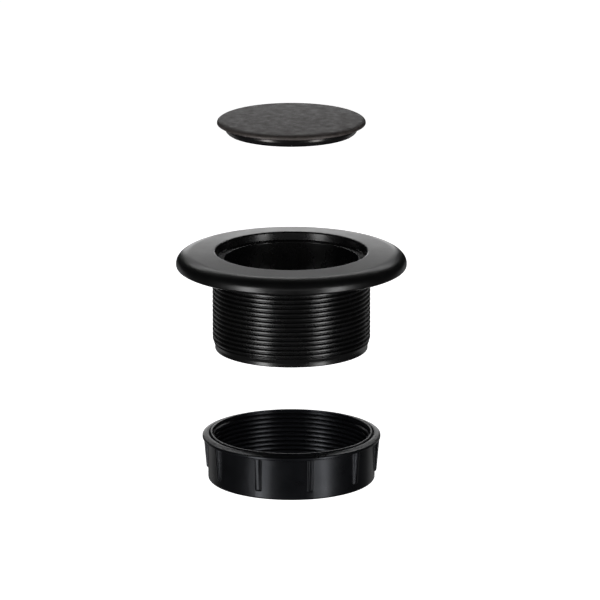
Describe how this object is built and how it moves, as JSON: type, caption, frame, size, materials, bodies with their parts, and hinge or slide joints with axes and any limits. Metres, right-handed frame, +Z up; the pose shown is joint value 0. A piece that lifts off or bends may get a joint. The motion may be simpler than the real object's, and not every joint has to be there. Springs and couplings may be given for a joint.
{
  "type": "threaded table hole ring with nut and cap",
  "caption": "Flanged threaded sleeve that lines a round hole in a table or counter top, with a ribbed ring nut below and a press-in cap.",
  "frame": {"origin": "on the sleeve's axis, in the plane of the flange's underside, which is the plane of the table top", "axes": "+Z up along the sleeve's axis, from the nut to the cap; +Y away from the camera's side"},
  "size_m": [0.073, 0.073, 0.1176],
  "materials": {
    "cap_plastic": "fine matt texture on top, polished skirt",
    "sleeve_plastic": "satin flange, glossier thread",
    "nut_plastic": "semi-gloss"
  },
  "bodies": {
    "sleeve": {"sleeve": "sleeve_plastic"},
    "cap": {"cap": "cap_plastic"},
    "nut_carriage": {"nut_lip": "nut_plastic"},
    "nut": {"nut_barrel": "nut_plastic"}
  },
  "joints": [
    {"name": "cap_press", "type": "slide", "parent": "sleeve", "child": "cap", "axis": [0, 0, -1], "range_m": [0, 0.0431]},
    {"name": "nut_travel", "type": "slide", "parent": "sleeve", "child": "nut_carriage", "axis": [0, 0, 1], "range_m": [0, 0.054]},
    {"name": "nut_turn", "type": "hinge", "parent": "nut_carriage", "child": "nut", "pos_m": [0, 0, -0.0542], "axis": [0, 0, 1], "range_deg": [0, 12960]}
  ],
  "couplings": [
    {"joint": "nut_travel", "follows": "nut_turn", "m_per_rad": 0.00023873}
  ]
}
